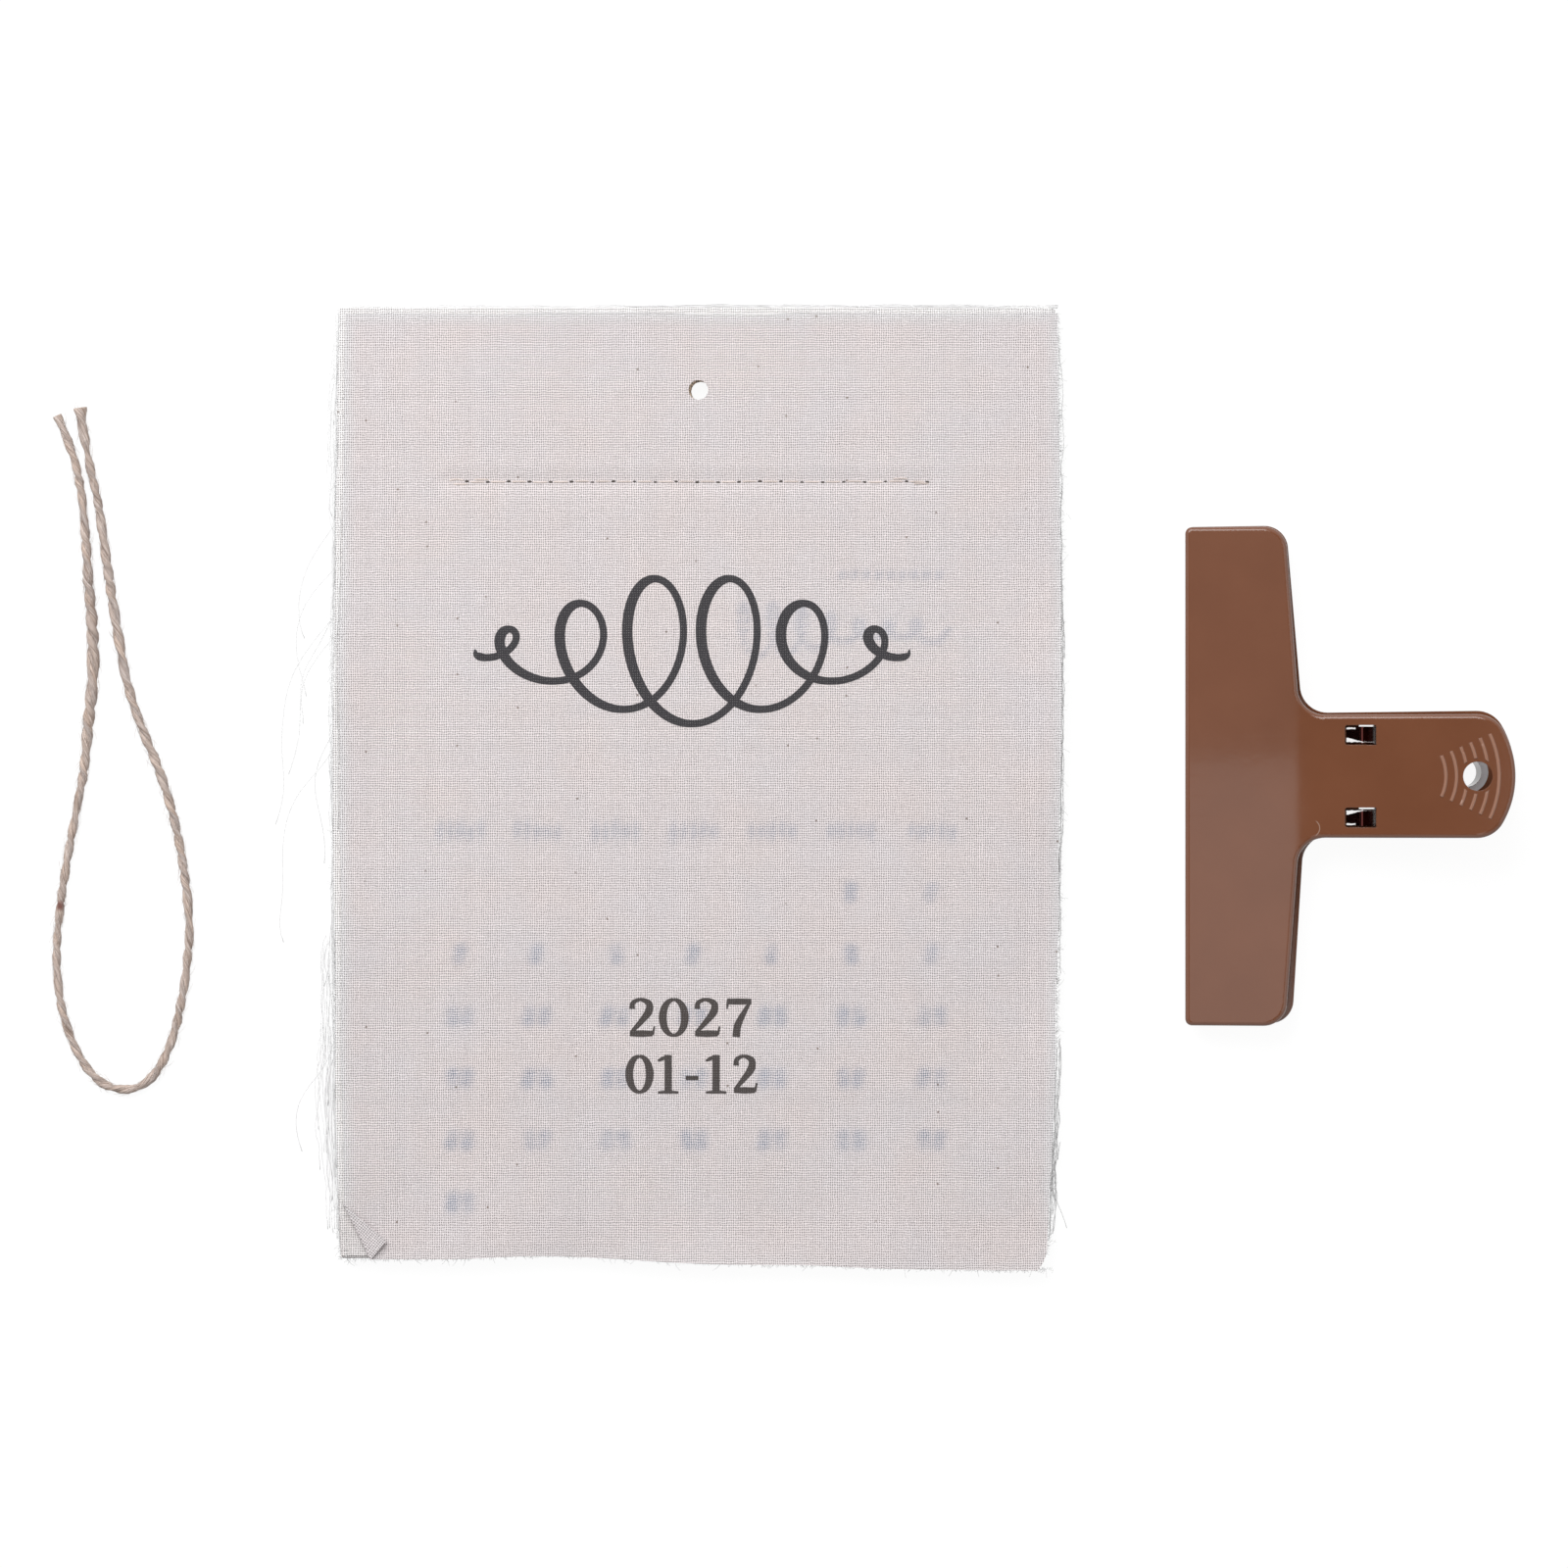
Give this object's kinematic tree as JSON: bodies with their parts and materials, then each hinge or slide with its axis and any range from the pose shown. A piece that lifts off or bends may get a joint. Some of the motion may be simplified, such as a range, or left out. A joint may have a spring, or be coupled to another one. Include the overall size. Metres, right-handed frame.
{
  "type": "wall calendar",
  "caption": "Sewn pad of raw-edged cloth calendar sheets with a hanging hole, laid flat beside its sprung T-shaped hanging clip and a loose length of jute hanging twine.",
  "frame": {"origin": "on the axis of the pad's hanging hole, on the pad's back face, which is the surface that everything lies on", "axes": "+X to the right across the page, +Y up the page, +Z out of the page's front along the hanging hole"},
  "size_m": [0.3054, 0.2008, 0.0171],
  "materials": {
    "cover_cloth": "plain-woven natural cloth, printed",
    "page_cloth": "plain-woven natural cloth, raw cut edges",
    "thread": "spun sewing thread",
    "jute": "two-ply twisted jute with loose fibres",
    "clip_plastic": "glossy moulded plastic, caramel brown",
    "spring_steel": "bright nickelled spring steel strip"
  },
  "bodies": {
    "calendar": {"cover_sheet": "cover_cloth", "month_pages": "page_cloth", "binding_thread": "thread", "hanging_twine": "jute", "clip_lower_half": "clip_plastic", "clip_spring": "spring_steel"},
    "clip_jaw": {"clip_upper_half": "clip_plastic"}
  },
  "joints": [
    {"name": "clip_open", "type": "hinge", "parent": "calendar", "child": "clip_jaw", "pos_m": [0.14226, -0.08045, 0.00649], "axis": [0, 1, 0], "range_deg": [0, 20], "stiffness_Nm_per_rad": 0.6, "springref_deg": -28.65, "deforming": ["clip_spring"]}
  ]
}
